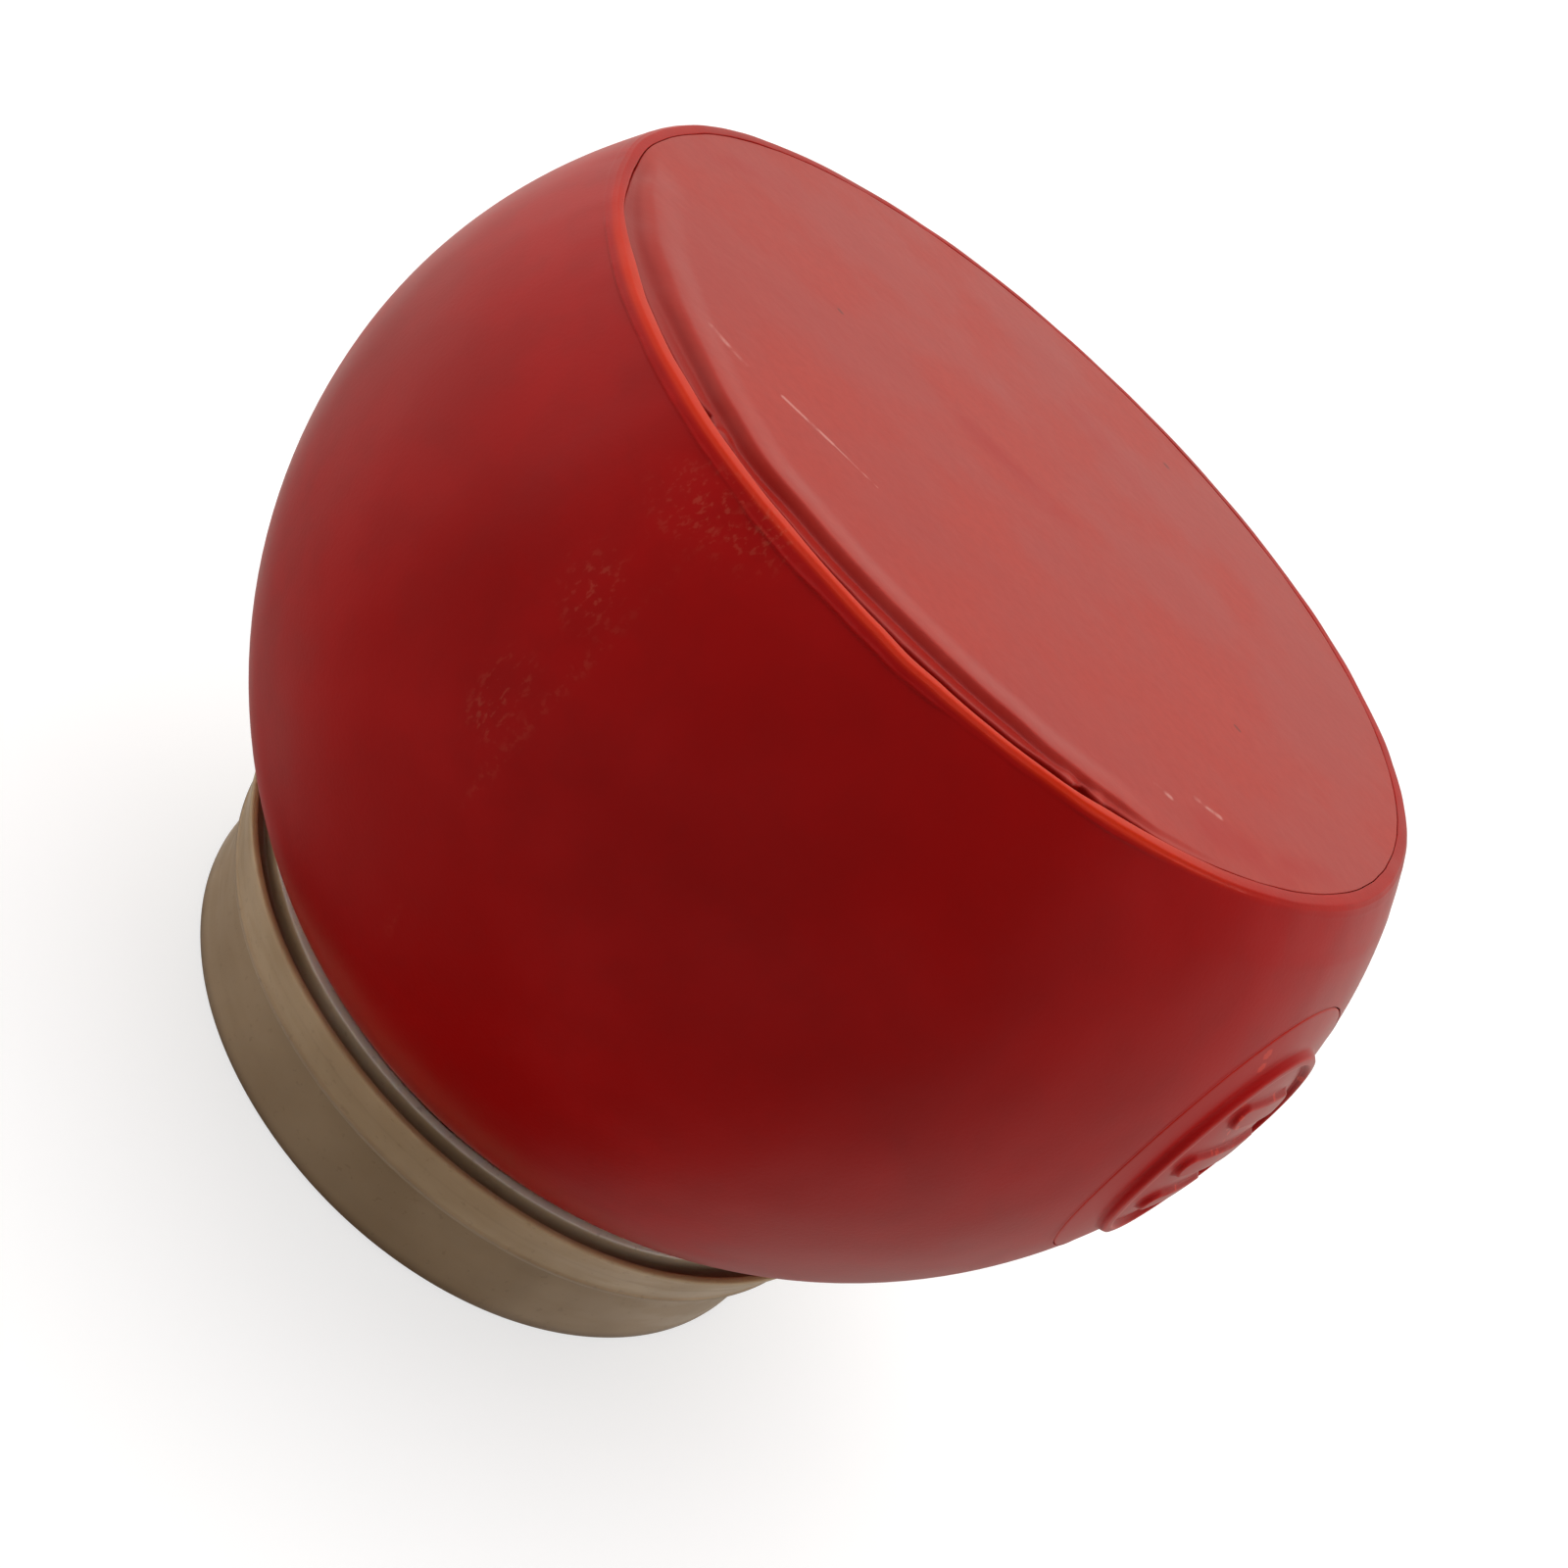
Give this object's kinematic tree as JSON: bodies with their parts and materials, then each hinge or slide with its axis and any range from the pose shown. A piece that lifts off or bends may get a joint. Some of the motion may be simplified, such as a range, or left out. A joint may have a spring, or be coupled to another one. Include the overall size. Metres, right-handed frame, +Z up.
{
  "type": "case opening friction ball",
  "caption": "Palm-sized soft friction ball with a flat tacky face and a side badge, resting in an open ring stand that it lifts out of.",
  "frame": {"origin": "centre of the stand ring's foot, on the bench", "axes": "+Z up along the common axis of stand and ball, out of the flat friction face; +X towards the side badge"},
  "size_m": [0.0663, 0.066, 0.051],
  "materials": {
    "shell_elastomer": "moulded red elastomer, satin gloss, slightly translucent at thin edges",
    "pad_elastomer": "poured tacky red elastomer, smooth, faintly scuffed",
    "core_elastomer": "poured soft red elastomer, matt, hidden",
    "stand_plastic": "moulded natural polyethylene, milky and translucent"
  },
  "bodies": {
    "stand": {"stand_ring": "stand_plastic"},
    "ball": {"ball_shell": "shell_elastomer", "soft_core": "core_elastomer", "friction_pad": "pad_elastomer", "badge": "shell_elastomer"}
  },
  "joints": [
    {"name": "ball_lift", "type": "slide", "parent": "stand", "child": "ball", "axis": [0, 0, 1], "range_m": [0, 0.05]}
  ]
}
